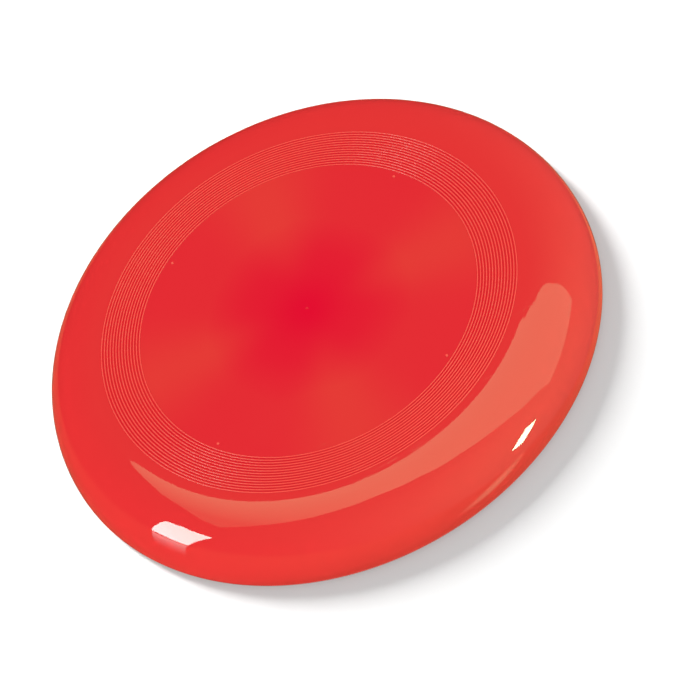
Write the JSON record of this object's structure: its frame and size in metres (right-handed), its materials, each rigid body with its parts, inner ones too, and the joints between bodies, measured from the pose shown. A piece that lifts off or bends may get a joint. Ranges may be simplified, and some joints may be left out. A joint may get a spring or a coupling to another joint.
{
  "type": "flying disc",
  "caption": "Moulded flying disc: flat plate, band of fine concentric ridges, broad rounded shoulder and a deep rim, hollow underneath.",
  "frame": {"origin": "centre of the flat ring at the foot of the rim, on the surface that the disc rests on", "axes": "+Z is the spin axis, pointing out of the top plate; -Y is the side nearest the camera in the picture"},
  "size_m": [0.23, 0.23, 0.0247],
  "materials": {
    "red_plastic": "polished polypropylene, slightly translucent, bare of any print"
  },
  "bodies": {
    "root": {"disc_shell": "red_plastic"}
  },
  "joints": []
}
